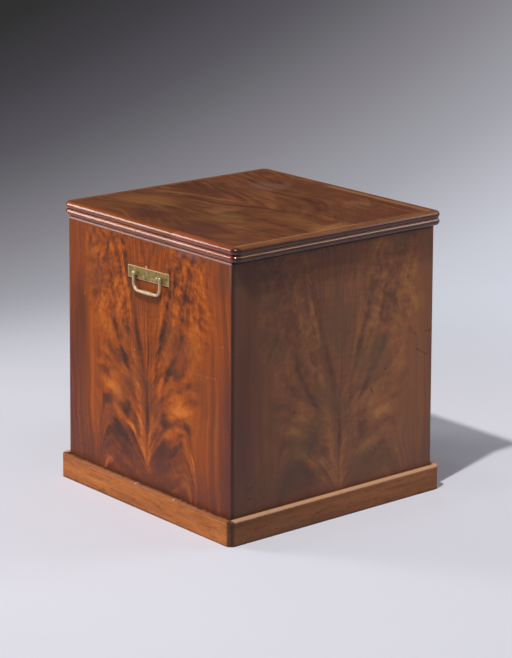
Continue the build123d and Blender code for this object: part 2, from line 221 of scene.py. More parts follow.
# Each blot is its middle across and up, its half width and half height, and what it adds to the
# tone
BLOTS = [
    (-0.079, 0.204, 0.027, 0.030, 0.27),
    (-0.080, 0.163, 0.016, 0.026, 0.16),
    (0.081, 0.203, 0.030, 0.024, 0.27),
    (-0.054, 0.167, 0.015, 0.014, -0.28),
    (0.048, 0.168, 0.014, 0.017, -0.28),
    (-0.088, 0.100, 0.042, 0.046, -0.20),
    (0.034, 0.104, 0.022, 0.042, -0.22),
    (0.092, 0.385, 0.034, 0.040, -0.14),
    (-0.192, 0.310, 0.022, 0.075, -0.16),
    (0.112, 0.095, 0.020, 0.050, 0.14),
]
TRAIL_SCALE = 2.0  # a ramp reads from 0 to 1, so a trail's places are doubled
TRAIL_MIDDLE = 0.5  # and its places across are raised too
TRAIL_FADE = 0.025
PLAIN_TONE = 0.47  # what a veneer's tone comes to where it has no figure
FLAME_PORE = tint(52, 28, 20)
FLAME_RELIEF = 0.0002


def trail(paint, across, height, width, points):
    """1 on a line through points of (height, place across) and 0 off it, fading at its ends.
    across and height are the surface's places, scaled and raised as a ramp needs them."""
    first_height, first_place = points[0]
    last_height, last_place = points[-1]
    stops = [(first_height - TRAIL_FADE, first_place, 0.0)]
    stops += [(tall, place, 1.0) for tall, place in points]
    stops += [(last_height + TRAIL_FADE, last_place, 0.0)]
    line = paint.node("ShaderNodeValToRGB", Fac=height)
    greys = []
    for tall, place, share in stops:
        grey = place * TRAIL_SCALE + TRAIL_MIDDLE
        greys.append((tall * TRAIL_SCALE, (grey, grey, grey, share)))
    fill_ramp(line, greys)
    off = paint.size(across - Field(paint, line.outputs["Color"]))
    return paint.rise(off, width * 2.6, width * 0.3) * Field(paint, line.outputs["Alpha"])


def blot(paint, place, middle, half, change=1.0):
    """change in the middle of an oval and 0 outside it."""
    return paint.rise(paint.oval(place, middle, half), 1.3, 0.3, 0.0, change)


def flame(
    name, across, tones, dusk, tinge, marks, polish, gloss, seed=0.0, contrast=1.0, width=1.0, drop=0.0
):
    """A flame veneer. across picks its level axis, width stretches its figure and drop lowers
    it. tones are its colours from dark to bright, dusk the colour that it sinks to near its
    foot, tinge one that it turns to in places, and marks the small damages that it has had."""
    paint = Paint(name)
    u = across(paint)
    v = paint.z + drop
    drift = paint.noise(u * 7.0, v * 5.0, 3.0 + seed)
    stir = paint.noise(u * 34.0, v * 24.0, 9.0 + seed, detail=3.0)
    bent = (u + drift * 0.008 + stir * 0.004) / width
    side = paint.size(bent)

    # Where each kind of figure is: mottle above, straight grain at the margins and in the core
    upper = paint.rise(v + drift * 0.06, 0.25, 0.37)
    calm = paint.rise(side + stir * 0.024 + drift * 0.024 - upper * 0.034, 0.112, 0.160)
    core = paint.rise(side, 0.12, 0.05) * paint.rise(side - (v - 0.05) * 0.14, 0.012, -0.006)

    # Height of the feathers' lines: they climb outwards, steeply above, and arch over below
    bow = (1.0 - paint.math("EXPONENT", side * -14.0)) * 0.11
    steep = side * paint.rise(v, 0.24, 0.46, 0.0, 1.3)
    arch = paint.math("POWER", paint.most(side - 0.098, 0.0), 2.0) * paint.rise(v, 0.20, 0.12, 0.0, 60.0)
    ring = v - bow - steep + arch + drift * 0.012 + stir * 0.010

    feather = paint.noise(ring * 38.0, side * 11.0 + v * 7.0, 5.0 + seed, detail=2.0)
    lace = paint.noise(ring * 95.0 + stir * 0.5, u * 32.0, 7.0 + seed, detail=3.0, rough=0.6)
    lump_up = v * 66.0 + drift + side * 18.0
    lump = paint.noise(u * 84.0 + stir * 1.2, lump_up, 2.0 + seed, detail=2.5, rough=0.6)
    mottle = paint.rise(lump, -0.32, 0.32, -0.5, 0.5)
    streaks = paint.noise(bent * 210.0 / (v + 0.25), v * 5.0, 1.0 + seed, detail=3.0, rough=0.6)
    margin_across = u * 85.0 + drift * 2.0 + v * 4.0
    margin = paint.noise(margin_across, v * 1.6, 4.0 + seed, detail=4.0, rough=0.62)

    plume = feather * (0.80 - upper * 0.24) + lace * 0.22 + mottle * (upper * 0.26 + 0.14) + 0.02
    rim = paint.rise(paint.size(ring - 0.080), 0.009, 0.001) * paint.rise(side, 0.01, 0.04) * (1.0 - upper)
    pit = paint.rise(ring, 0.074, 0.050) * (1.0 - upper) * (1.0 - calm)
    plume = plume + rim * 0.10 - pit * 0.13
    middle = (streaks * 0.45 + feather * 0.15 - 0.03) * core
    tone = plume * (1.0 - calm) * (1.0 - core * 0.85) + margin * calm * 0.5 + middle + PLAIN_TONE

    over = bent * TRAIL_SCALE + TRAIL_MIDDLE
    tall = v * TRAIL_SCALE
    for trails, change in ((DARK_TRAILS, -0.24), (BRIGHT_TRAILS, 0.17)):
        shift = lace * 0.35 + change
        for line in trails:
            tone = tone + trail(paint, over, tall, *line) * shift
    place = paint.point(bent + stir * 0.012, v + stir * 0.016)
    for *spot, change in BLOTS:
        tone = tone + blot(paint, place, spot[:2], spot[2:], change)
    fibre = paint.noise(u * 420.0 + ring * 60.0, v * 14.0, 6.0 + seed, detail=3.0, rough=0.7)
    ripple = paint.noise(u * 26.0 + stir, v * 150.0 + drift * 3.0, 11.0 + seed, detail=2.0) * (1.0 - calm)
    tone = (tone - 0.5) * contrast + 0.5 + fibre * 0.07 + ripple * 0.12

    colour = paint.ramp(tone, tones)
    hue = paint.noise(u * 11.0, v * 8.0, 21.0 + seed, detail=2.0)
    colour = paint.mix(paint.rise(hue, -0.05, 0.30, 0.0, 0.5), colour, tinge)
    low = paint.rise(v + drift * 0.06, 0.18, 0.02) * 0.72
    edge = paint.rise(side + drift * 0.02, 0.150, 0.215) * paint.rise(v, 0.36, 0.20, 0.25, 0.85)
    sink = paint.most(low, edge) * (1.0 - paint.rise(tone, 0.45, 0.8) * 0.6)
    colour = paint.mix(sink, colour, dusk)
    pores = paint.specks(u * 900.0 + ring * 90.0, v * 130.0, seed, 0.34)
    colour = paint.mix(pores * 0.28, colour, FLAME_PORE)
    colour, wear = marks(paint, u, paint.z, colour)
    roughness = polish + fibre * 0.05 + drift * 0.05 + pores * 0.12 + wear * 0.2
    relief = fibre * 0.35 - pores * 0.5 - wear * 1.2 + drift * 0.6
    return paint.surface(colour, roughness, relief, FLAME_RELIEF, Specular_IOR_Level=gloss)


# The marks' places are across the face from the middle of its figure and up from the floor,
# in metres. A bruise's last number is its size, as a share of the largest.

LEFT_BRUISES = [
    (-0.177, 0.341, 0.8),
    (-0.034, 0.271, 1.0),
    (0.201, 0.326, 0.9),
    (0.094, 0.395, 0.8),
    (0.161, 0.266, 0.6),
    (0.183, 0.270, 0.6),
    (-0.140, 0.120, 0.5),
    (-0.196, 0.205, 0.5),
]
LEFT_CHIPS = [(-0.0010, 0.4200, 1.0), (-0.0032, 0.4202, 0.7)]
LEFT_SCRATCHES = [((0.13, 0.266), (0.19, 0.269), 0.0007), ((0.165, 0.190), (0.215, 0.186), 0.0006)]
FRONT_BRUISES = [
    (0.154, 0.387, 1.0),
    (0.173, 0.285, 0.8),
    (0.104, 0.234, 1.0),
    (-0.101, 0.197, 0.9),
    (0.083, 0.098, 0.8),
    (0.061, 0.279, 0.8),
    (0.049, 0.311, 0.7),
    (0.127, 0.353, 0.7),
    (-0.030, 0.150, 0.5),
    (0.192, 0.110, 0.6),
]
FRONT_PALE_NICK = [(-0.224, 0.317, 1.0)]
LEFT_BRUISE = 0.0024  # half the largest bruise on each face, in metres
FRONT_BRUISE = 0.0026
PALE_NICK = 0.002
FRONT_SCRATCHES = [
    ((0.197, 0.285), (0.215, 0.283), 0.0011),
    ((0.176, 0.257), (0.200, 0.243), 0.0010),
    ((0.071, 0.206), (0.075, 0.197), 0.0020),
]
SCRATCH_FADE = 0.004


def nicks(paint, u, v, places, size):
    """Small round bruises at places given as (across, up, share of the size)."""
    place = paint.point(u + paint.noise(u * 300.0, v * 300.0, 2.0) * 0.0009, v)
    spots = []
    for across, up, share in places:
        spots.append(paint.rise(paint.oval(place, (across, up), (size * share, size * share)), 1.1, 0.5))
    return functools.reduce(paint.most, spots)


def scratches(paint, u, v, lines):
    """1 on scratches given as (start, end, width)."""
    found = []
    for start, end, width in lines:
        run = Vector(end) - Vector(start)
        along = run.normalized()
        ahead = (u - start[0]) * along.x + (v - start[1]) * along.y
        off = paint.size((u - start[0]) * along.y - (v - start[1]) * along.x)
        wander = paint.noise(u * 160.0, v * 160.0, 2.0) * width * 0.8
        line = paint.rise(off + wander, width, width * 0.3)
        found.append(line * paint.band(ahead, 0.0, run.length, SCRATCH_FADE))
    return functools.reduce(paint.most, found)


def left_marks(paint, u, v, colour):
    """A hazy rub under the lid, partly a painted sheen, scratches, pale bruises, a chip over the
    handle's plate, and the corner towards the front, with a painted sheen all the way up and a
    painted highlight at its top."""
    # A purple-grey rub under the lid, partly a painted sheen
    rub_and_sheen = paint.band(v, 0.4585, 0.4635, 0.006) * paint.band(u, 0.094, 0.134, 0.02)
    rub_and_sheen = rub_and_sheen * paint.rise(paint.noise(u * 120.0, v * 120.0, 4.0), -0.3, 0.3)
    colour = paint.mix(rub_and_sheen * 0.5, colour, tint(142, 98, 96))
    line = scratches(paint, u, v, LEFT_SCRATCHES)
    colour = paint.mix(line * 0.22, colour, tint(170, 110, 70))
    colour = paint.mix(nicks(paint, u, v, LEFT_BRUISES, LEFT_BRUISE) * 0.6, colour, tint(190, 136, 92))
    colour = paint.mix(nicks(paint, u, v, LEFT_CHIPS, LEFT_BRUISE) * 0.9, colour, tint(232, 176, 148))
    # Painted sheen down the corner towards the front, fading downwards
    arris_painted_light = paint.rise(u + paint.noise(v * 30.0, 0.0, 3.0) * 0.002, 0.2205, 0.2235)
    arris_painted_light = arris_painted_light * paint.rise(v, 0.02, 0.35, 0.45, 0.8)
    colour = paint.mix(arris_painted_light, colour, tint(112, 66, 66))
    # Painted highlight at the top of that corner
    painted_corner_highlight = paint.rise(v + paint.noise(v * 90.0, 1.0) * 0.01, 0.405, 0.462) * paint.rise(u, 0.213, 0.222)
    colour = paint.mix(painted_corner_highlight * 0.35, colour, tint(176, 128, 112))
    return colour, paint.most(line * 0.5, rub_and_sheen * 0.5)


def front_marks(paint, u, v, colour):
    """Dark scratches and bruises, painted shade that grows to the left, a darker band under the
    lid that is partly wood kept from fading and partly painted shadow of its overhang, and
    painted shade on the near corner."""
    spot = nicks(paint, u, v, FRONT_BRUISES, FRONT_BRUISE)
    line = scratches(paint, u, v, FRONT_SCRATCHES)
    colour = paint.mix(line * 0.6, colour, tint(50, 26, 20))
    colour = paint.mix(spot * 0.6, colour, tint(56, 28, 22))
    colour = paint.mix(nicks(paint, u, v, FRONT_PALE_NICK, PALE_NICK) * 0.5, colour, tint(170, 130, 80))
    # Painted shade, growing towards the left
    painted_shade_leftward = paint.rise(u + paint.noise(u * 8.0, v * 5.0, 3.0) * 0.05, 0.10, -0.235)
    colour = paint.mix(painted_shade_leftward * 0.55, colour, tint(72, 44, 36))
    # Under the lid: wood kept from fading, and partly a painted shadow of the lid's overhang
    unfaded_and_shadow_band = paint.rise(v + paint.noise(u * 14.0, 0.0, 6.0) * 0.004, 0.424, 0.436)
    unfaded_and_shadow_band = unfaded_and_shadow_band * paint.rise(u, -0.05, 0.19, 0.3, 0.12)
    colour = paint.mix(unfaded_and_shadow_band, colour, tint(62, 34, 32))
    # Painted shade on the near corner
    arris_painted_light = paint.rise(u + paint.noise(v * 30.0, 0.0, 3.0) * 0.002, -0.2265, -0.2325)
    colour = paint.mix(arris_painted_light * 0.75, colour, tint(56, 32, 30))
    return colour, paint.most(line, spot)


def plain_marks(seed):
    """Scattered dark specks, for the sides that aren't seen in the photograph."""

    def marks(paint, u, v, colour):
        some = paint.rise(paint.noise(u * 9.0, v * 9.0, seed + 5.0), 0.1, 0.3)
        spot = paint.specks(u * 40.0, v * 30.0, seed, 0.10) * some
        return paint.mix(spot * 0.5, colour, tint(62, 34, 24)), spot

    return marks


WARM_TONES = [
    (0.00, tint(68, 36, 21)),
    (0.20, tint(99, 50, 25)),
    (0.36, tint(132, 63, 24)),
    (0.50, tint(156, 74, 21)),
    (0.66, tint(178, 88, 22)),
    (0.82, tint(199, 104, 30)),
    (1.00, tint(212, 122, 46)),
]
FADED_TONES = [
    (0.00, tint(84, 54, 42)),
    (0.25, tint(116, 74, 52)),
    (0.45, tint(141, 88, 60)),
    (0.60, tint(157, 99, 62)),
    (0.80, tint(178, 118, 68)),
    (1.00, tint(196, 138, 86)),
]
WARM = {"tones": WARM_TONES, "dusk": tint(98, 50, 40), "tinge": tint(112, 62, 36)}
FADED = {"tones": FADED_TONES, "dusk": tint(112, 70, 56), "tinge": tint(112, 84, 58)}

paints = {
    "veneer_left": flame(
        "flame_left", lambda paint: -paint.y, marks=left_marks, polish=0.34, gloss=0.2, **WARM
    ),
    "veneer_front": flame(
        "flame_front",
        lambda paint: paint.x - 0.01,
        marks=front_marks,
        polish=0.4,
        gloss=0.3,
        seed=0.35,
        contrast=0.68,
        width=1.06,
        drop=0.028,
        **FADED,
    ),
    "veneer_right": flame(
        "flame_right",
        lambda paint: paint.y,
        marks=plain_marks(3.0),
        polish=0.36,
        gloss=0.25,
        seed=0.6,
        contrast=0.95,
        width=1.04,
        drop=0.012,
        **WARM,
    ),
    "veneer_back": flame(
        "flame_back",
        lambda paint: -paint.x,
        marks=plain_marks(8.0),
        polish=0.45,
        gloss=0.25,
        seed=0.8,
        contrast=0.8,
        drop=-0.01,
        **FADED,
    ),
}

# The lid's leaf: feathered from a line near its middle, with golden, dark and hazy places

LID_TONES = [
    (0.00, tint(62, 34, 26)),
    (0.22, tint(80, 44, 31)),
    (0.42, tint(98, 56, 36)),
    (0.58, tint(112, 67, 41)),
    (0.76, tint(130, 82, 48)),
    (1.00, tint(150, 102, 60)),
]
# Middle and half size along X and Y in metres, share and colour
LID_PLACES = [
    (-0.108, 0.160, 0.056, 0.068, 0.6, tint(138, 90, 50)),
    (-0.060, 0.002, 0.038, 0.034, 0.6, tint(138, 92, 58)),
    (-0.097, -0.054, 0.022, 0.040, 0.6, tint(128, 92, 48)),
    (-0.014, -0.150, 0.018, 0.050, 0.5, tint(132, 86, 48)),
    (0.002, -0.204, 0.046, 0.022, 0.8, tint(146, 100, 56)),
    (-0.173, 0.060, 0.036, 0.042, 0.7, tint(84, 48, 36)),
    (-0.170, -0.085, 0.046, 0.052, 0.6, tint(88, 51, 42)),
    (0.020, 0.160, 0.034, 0.062, 0.7, tint(84, 47, 36)),
    (0.088, 0.180, 0.040, 0.040, 0.5, tint(126, 74, 48)),
    # A painted sheen at the back right
    (0.132, 0.108, 0.056, 0.036, 0.45, tint(124, 88, 74)),
    (0.166, 0.128, 0.010, 0.026, 0.7, tint(70, 44, 36)),
    (0.162, -0.098, 0.022, 0.032, 0.45, tint(142, 96, 80)),
    (0.120, -0.190, 0.075, 0.045, 0.4, tint(104, 58, 46)),
    (-0.200, 0.150, 0.026, 0.080, 0.4, tint(116, 62, 40)),
]
LID_TRAIL_RAISE = 0.2  # the first number of each point is Y raised by this
LID_DARK = [(0.007, [(0.150, 0.002), (0.195, -0.012), (0.250, -0.034), (0.320, -0.044)])]
LID_BRIGHT = [
    (0.012, [(0.225, 0.003), (0.280, -0.014), (0.345, -0.034), (0.420, -0.050)]),
    (0.015, [(0.160, 0.010), (0.195, 0.032), (0.240, 0.070), (0.275, 0.090)]),
]
LID_PORE = tint(48, 28, 22)
LID_PALE_STRIP = tint(150, 106, 74)


def lid_leaf():
    paint = Paint("flame_lid")
    x, y = paint.x, paint.y
    drift = paint.noise(x * 7.0, y * 6.0, 31.0)
    stir = paint.noise(x * 30.0, y * 22.0, 33.0, detail=3.0)
    bent = x - 0.008 + drift * 0.010 + stir * 0.006
    side = paint.size(bent)
    ring = y - side * paint.rise(y, -0.08, 0.15, 1.2, 3.0) + drift * 0.02
    feather = paint.noise(ring * 26.0, side * 9.0 + y * 4.0, 35.0, detail=3.0)
    lines = paint.noise(bent * 120.0, y * 4.0, 37.0, detail=4.0, rough=0.6)
    wisps = paint.noise(ring * 85.0 + stir, x * 20.0, 39.0, detail=3.0, rough=0.6)
    calm = paint.rise(y + drift * 0.1, -0.04, -0.12)
    tone = feather * 0.5 * (1.0 - calm * 0.6) + lines * (calm * 0.35 + 0.15) + wisps * 0.18
    tone = tone + stir * 0.2 + 0.50
    over = bent * TRAIL_SCALE + TRAIL_MIDDLE
    tall = y * TRAIL_SCALE + LID_TRAIL_RAISE * TRAIL_SCALE
    for trails, change in ((LID_DARK, -0.22), (LID_BRIGHT, 0.15)):
        for line in trails:
            tone = tone + trail(paint, over, tall, *line) * change
    fibre = paint.noise(x * 400.0, y * 14.0, 6.0, detail=3.0, rough=0.7)
    colour = paint.ramp(tone + fibre * 0.06, LID_TONES)

    place = paint.point(x + drift * 0.05 + stir * 0.024 + feather * 0.012, y + drift * 0.06 + stir * 0.04)
    for *spot, share, patch in LID_PLACES:
        spread = blot(paint, place, spot[:2], spot[2:])
        colour = paint.mix(spread * (share + wisps * 0.5), colour, patch)

    # Pale strips along the front and right edges
    front = paint.rise(y + stir * 0.006, -0.214, -0.221)
    front = front * paint.rise(x + drift * 0.05, 0.10, 0.04, 0.3, 0.85)
    right = paint.rise(x + stir * 0.004, 0.208, 0.214)
    right = right * paint.rise(y + drift * 0.03, 0.07, 0.03) * 0.85
    colour = paint.mix(paint.most(front, right), colour, LID_PALE_STRIP)
    pores = paint.specks(x * 900.0, y * 130.0, 0.5, 0.34)
    colour = paint.mix(pores * 0.25, colour, LID_PORE)
    roughness = fibre * 0.05 + drift * 0.08 + pores * 0.1 + 0.44
    relief = fibre * 0.35 - pores * 0.5 + drift * 0.6
    return paint.surface(colour, roughness, relief, FLAME_RELIEF, Specular_IOR_Level=0.3)


paints["lid_top_veneer"] = lid_leaf()

# Solid wood, and how it has worn

GRAIN_STOPS = (0.0, 0.3, 0.5, 0.7, 1.0)
PLINTH_STOPS = (0.0, 0.25, 0.5, 0.7, 1.0)


def grain_tones(stops, *colours):
    """A ramp's stops from as many colours, given as they look."""
    return [(position, tint(*colour)) for position, colour in zip(stops, colours)]


EDGE_TONES = grain_tones(
    GRAIN_STOPS, (58, 30, 24), (82, 44, 32), (100, 55, 38), (120, 67, 45), (146, 86, 58)
)
EDGE_LIGHT_TONES = grain_tones(
    GRAIN_STOPS, (80, 40, 22), (116, 58, 28), (140, 68, 30), (160, 82, 38), (180, 102, 54)
)
EDGE_RED_TONES = grain_tones(
    GRAIN_STOPS, (84, 38, 24), (122, 56, 34), (148, 70, 42), (166, 84, 54), (186, 104, 72)
)
PLINTH_TONES = grain_tones(
    PLINTH_STOPS, (104, 54, 26), (152, 84, 40), (192, 112, 52), (212, 132, 66), (228, 156, 92)
)
PLINTH_BROWN_TONES = grain_tones(
    PLINTH_STOPS, (82, 48, 30), (116, 72, 44), (146, 92, 56), (166, 106, 66), (190, 130, 86)
)
PINE_TONES = grain_tones(
    GRAIN_STOPS, (138, 98, 58), (170, 124, 76), (186, 140, 88), (200, 156, 102), (214, 176, 124)
)
GRAIN_PORE = tint(48, 26, 18)

# How the near corners turn dark, from clean to dark; on the lid's edging it is painted shade
EDGE_CORNER_X = (-0.2130, -0.2170)
EDGE_CORNER_Y = (-0.2235, -0.2275)
PLINTH_CORNER = (-(HALF + 0.0015), -(HALF + 0.0050))


def grain_axes(side):
    """Axes along the grain, across it and upwards, for a piece on one side of the chest."""
    return "yxz" if side in ("left", "right") else "xyz"


def straight_grain(
    name, axes, tones, polish, length=6.0, width=150.0, seed=0.0, wear=None, depth=0.00025, **fixed
):
    """Solid wood. length and width are the figure's lumps to a metre along and across the grain,
    and wear is what its use has done to it."""
    paint = Paint(name)
    along, across, up = (getattr(paint, axis) for axis in axes)
    drift = paint.noise(along * length, across * 20.0, up * 20.0 + seed)
    figure_across = across * width * 0.3 + drift
    figure = paint.noise(along * length * 0.6, figure_across, up * width * 0.3 + seed, detail=3.0)
    fibre_across = across * width * 4.0
    fibre = paint.noise(along * length * 5.0, fibre_across, up * width * 4.0 + seed, detail=3.0, rough=0.7)
    tone = figure * 0.5 + fibre * 0.2 + drift * 0.2 + 0.5
    colour = paint.ramp(tone, tones)
    pores = paint.specks(along * 110.0, across * 700.0, up * 700.0 + seed, 0.36)
    colour = paint.mix(pores * 0.35, colour, GRAIN_PORE)
    worn = 0.0
    if wear:
        colour, worn = wear(paint, along, across, up, colour)
    roughness = polish + fibre * 0.06 + drift * 0.05 + worn * 0.15
    relief = fibre * 0.4 - pores * 0.5 - worn * 0.8
    return paint.surface(colour, roughness, relief, depth, **fixed)


def lid_edge_wear(side):
    """Worn tops of the reeds, partly a painted highlight, a paler flat on top, and painted shade on
    the corner at the front left. The front's reeds have painted shade on their lower halves and
    a painted highlight along the top of the lower reed, and those at the back and the right are
    darker between them."""

    def wear(paint, along, across, up, colour):
        foot = up - LID_LOW
        ragged = paint.noise(along * 60.0, 0.0, 2.0) * 0.0006
        rub_and_sheen = paint.rise(up + ragged, LID_TOP - 0.0027, LID_TOP - 0.0007)
        flat = paint.rise(up, LID_TOP - 0.0011, LID_TOP - 0.0002)
        worn = paint.noise(along * 25.0, across * 40.0, 5.0)
        if side == "front":
            # Painted shade on the lower halves of the reeds
            lower = paint.band(foot, 0.0005, 0.0080, 0.001)
            higher = paint.band(foot, 0.0135, LID_TOP - LID_LOW - 0.0045, 0.001)
            colour = paint.mix(paint.most(lower, higher) * 0.55, colour, tint(70, 46, 40))
            # A painted highlight along the top of the lower reed
            line = paint.band(foot + worn * 0.0008, 0.0096, 0.0122, 0.0012)
            colour = paint.mix(line * 0.85, colour, tint(190, 148, 126))
        elif side != "left":
            # Darker in the grooves between the reeds
            groove_darkening = paint.rise(paint.math("PINGPONG", foot, REED / 2), 0.0014, 0.0, 0.0, 0.3)
            colour = paint.mix(groove_darkening, colour, tint(48, 27, 22))
        # The reeds' top arris: worn, and partly a painted highlight
        share = 0.12 if side == "left" else 0.45
        colour = paint.mix(rub_and_sheen * share, colour, tint(150, 96, 58))
        colour = paint.mix(flat * paint.rise(worn, -0.2, 0.4, 0.0, share), colour, tint(146, 100, 58))
        # Painted shade on the rounded corner at the front left
        corner = paint.rise(paint.x, *EDGE_CORNER_X) * paint.rise(paint.y, *EDGE_CORNER_Y)
        colour = paint.mix(corner * 0.75, colour, tint(58, 32, 30))
        return colour, rub_and_sheen * 0.4

    return wear


def rim_wear(side):
    """The rim's arris under the lid: at the left and right a painted highlight with some rubbing,
    and at the front and back painted shadow from the lid's overhang.
    """

    def wear(paint, along, across, up, colour):
        ragged = paint.noise(along * 40.0, across * 40.0, 2.0) * 0.001
        rub_and_sheen = paint.rise(up + ragged, CASE_TOP - 0.0052, CASE_TOP - 0.0030)
        # Front and back: painted shadow under the lid; left and right: a painted highlight
        if side in ("front", "back"):
            return paint.mix(rub_and_sheen * 0.7, colour, tint(46, 30, 30)), rub_and_sheen * 0.5
        return paint.mix(rub_and_sheen * 0.85, colour, tint(182, 122, 108)), rub_and_sheen * 0.5

    return wear


LEDGE_NICKS = [
    (0.0187, 0.0418, 1.0),
    (-0.0870, 0.0416, 1.0),
    (-0.1300, 0.0400, 0.5),
    (0.1100, 0.0410, 0.5),
]
LEDGE_NICK = 0.0011


def plinth_wear(side):
    """Streaks, knocks and grime, painted shade on the front and back that deepens to the left, a
    rubbed ledge with dirt and painted shade where it meets the case, painted contact shadow with
    some dirt at the foot, and a darker near corner. The left ledge is browner, crumbled and
    nicked."""

    def wear(paint, along, across, up, colour):
        reach = paint.noise(along * 9.0, up * 60.0, 2.0)
        streak = paint.noise(along * 22.0 + reach, up * 420.0, across * 420.0, detail=3.0, rough=0.65)
        colour = paint.mix(paint.rise(streak, 0.0, 0.40, 0.0, 0.55), colour, tint(124, 66, 32))
        knocks = paint.specks(along * 42.0 + reach * 2.0, up * 210.0 + reach, across * 42.0, 0.32)
        some = paint.rise(paint.noise(along * 16.0, up * 40.0, across * 16.0, detail=2.0), -0.05, 0.20)
        colour = paint.mix(knocks * some * 0.5, colour, tint(84, 48, 28))
        grime = paint.noise(along * 34.0, up * 100.0, across * 34.0, detail=4.0, rough=0.65)
        colour = paint.mix(paint.rise(grime, 0.0, 0.45, 0.0, 0.45), colour, tint(124, 74, 40))
        # Painted shade on the front and back, deepening to the left
        if side in ("front", "back"):
            colour = paint.mix(paint.rise(along, 0.24, -0.20, 0.0, 0.36), colour, tint(92, 58, 40))

        out = paint.most(paint.size(paint.x), paint.size(paint.y))
        ragged = paint.noise(along * 70.0, 1.0, across * 9.0, detail=3.0, rough=0.7)
        ledge = paint.rise(up + ragged * 0.0016, PLINTH_TOP - 0.0042, PLINTH_TOP - 0.0012)
        if side == "left":
            colour = paint.mix(ledge * 0.7, colour, tint(136, 84, 56))
            spots = nicks(paint, along, up, LEDGE_NICKS, LEDGE_NICK)
            colour = paint.mix(spots * 0.9, colour, tint(236, 226, 216))
            crumbs = paint.rise(ragged + paint.rise(out, 0.235, 0.227) * 0.5, 0.15, 0.4)
            colour = paint.mix(crumbs * ledge * 0.8, colour, tint(56, 36, 28))
        else:
            colour = paint.mix(ledge * 0.85, colour, tint(208, 160, 124))
            colour = paint.mix(paint.rise(ragged, 0.1, 0.45) * ledge * 0.5, colour, tint(122, 82, 54))
        # Dirt and painted shade where the plinth meets the case
        seam_dirt_and_shade = paint.rise(out, HALF + 0.0040, HALF + 0.0010)
        seam_dirt_and_shade = seam_dirt_and_shade * paint.rise(up, PLINTH_TOP - 0.002, PLINTH_TOP - 0.0005)
        colour = paint.mix(seam_dirt_and_shade * (0.6 if side == "left" else 0.85), colour, tint(44, 27, 20))

        # Painted contact shadow at the foot, with some dirt
        foot = paint.rise(up + ragged * 0.0014, 0.0044, 0.0014)
        colour = paint.mix(foot * 0.6, colour, tint(60, 40, 32))
        corner = paint.rise(paint.x + ragged * 0.003, *PLINTH_CORNER)
        corner = corner * paint.rise(paint.y + ragged * 0.003, *PLINTH_CORNER)
        colour = paint.mix(corner * 0.85, colour, tint(66, 44, 36))
        return colour, knocks * some + paint.rise(grime, 0.1, 0.4) * 0.4

    return wear


PINE = {"tones": PINE_TONES, "length": 3.0, "width": 60.0}

for side in SIDES:
    axes = grain_axes(side)
    seed = float(len(side))
    on_left = side == "left"
    paints[f"lid_edge_{side}"] = straight_grain(
        f"edging_{side}",
        axes,
        EDGE_LIGHT_TONES if on_left else EDGE_TONES,
        polish=0.15 if on_left else 0.24,
        seed=seed,
        wear=lid_edge_wear(side),
        depth=0.00012,
        Specular_IOR_Level=0.45,
    )
    paints[f"rim_{side}"] = straight_grain(
        f"rim_wood_{side}", axes, EDGE_TONES, polish=0.34, seed=seed, wear=rim_wear(side)
    )
    paints[f"plinth_{side}"] = straight_grain(
        f"plinth_wood_{side}",
        axes,
        PLINTH_TONES if side in ("left", "right") else PLINTH_BROWN_TONES,
        polish=0.5,
        seed=seed,
        wear=plinth_wear(side),
        Specular_IOR_Level=0.2,
    )
    paints[f"case_{side}"] = straight_grain(f"pine_{side}", axes, polish=0.6, seed=seed, **PINE)

paints["lid_edge_left_repair"] = straight_grain(
    "edging_repair",
    grain_axes("left"),
    EDGE_RED_TONES,
    polish=0.15,
    seed=7.5,
    wear=lid_edge_wear("left"),
    depth=0.00008,
    Specular_IOR_Level=0.6,
)
paints["case_bottom"] = straight_grain("pine_bottom", "xyz", polish=0.6, seed=2.0, **PINE)
paints["lid_core"] = straight_grain("pine_lid", "xyz", polish=0.6, seed=4.0, **PINE)
paints["glue_blocks"] = straight_grain(
    "pine_blocks", "xyz", PINE_TONES, polish=0.65, length=4.0, width=80.0, seed=9.0
)
paints["lid_backing_veneer"] = straight_grain(
    "backing_wood", "xyz", EDGE_TONES, polish=0.42, width=90.0, seed=5.0
)

# Metals


def metal(name, base, dark, pale, roughness, seed, metallic, grain=180.0, depth=0.0003, tarnish=0.5):
    """Old metal: a base colour with dark tarnish and paler rubbed places. grain is the clouds
    to a metre and tarnish the share that the darkest of them take."""
    paint = Paint(name)
    x, y, z = paint.x, paint.y, paint.z
    cloud = paint.noise(x * grain, y * grain, z * grain + seed, detail=3.0, rough=0.6)
    wide = paint.noise(x * grain * 0.25, y * grain * 0.25, z * grain * 0.25 + seed)
    fine = paint.noise(x * grain * 6.0, y * grain * 6.0, z * grain * 6.0 + seed, detail=2.0)
    colour = paint.mix(paint.rise(cloud + wide * 0.6, 0.0, 0.55) * tarnish, base, dark)
    colour = paint.mix(paint.rise(wide - cloud * 0.5, 0.05, 0.5) * 0.6, colour, pale)
    rough = roughness + cloud * 0.12 + fine * 0.05
    return paint.surface(colour, rough, fine * 0.5 + cloud * 0.5, depth, Metallic=metallic)


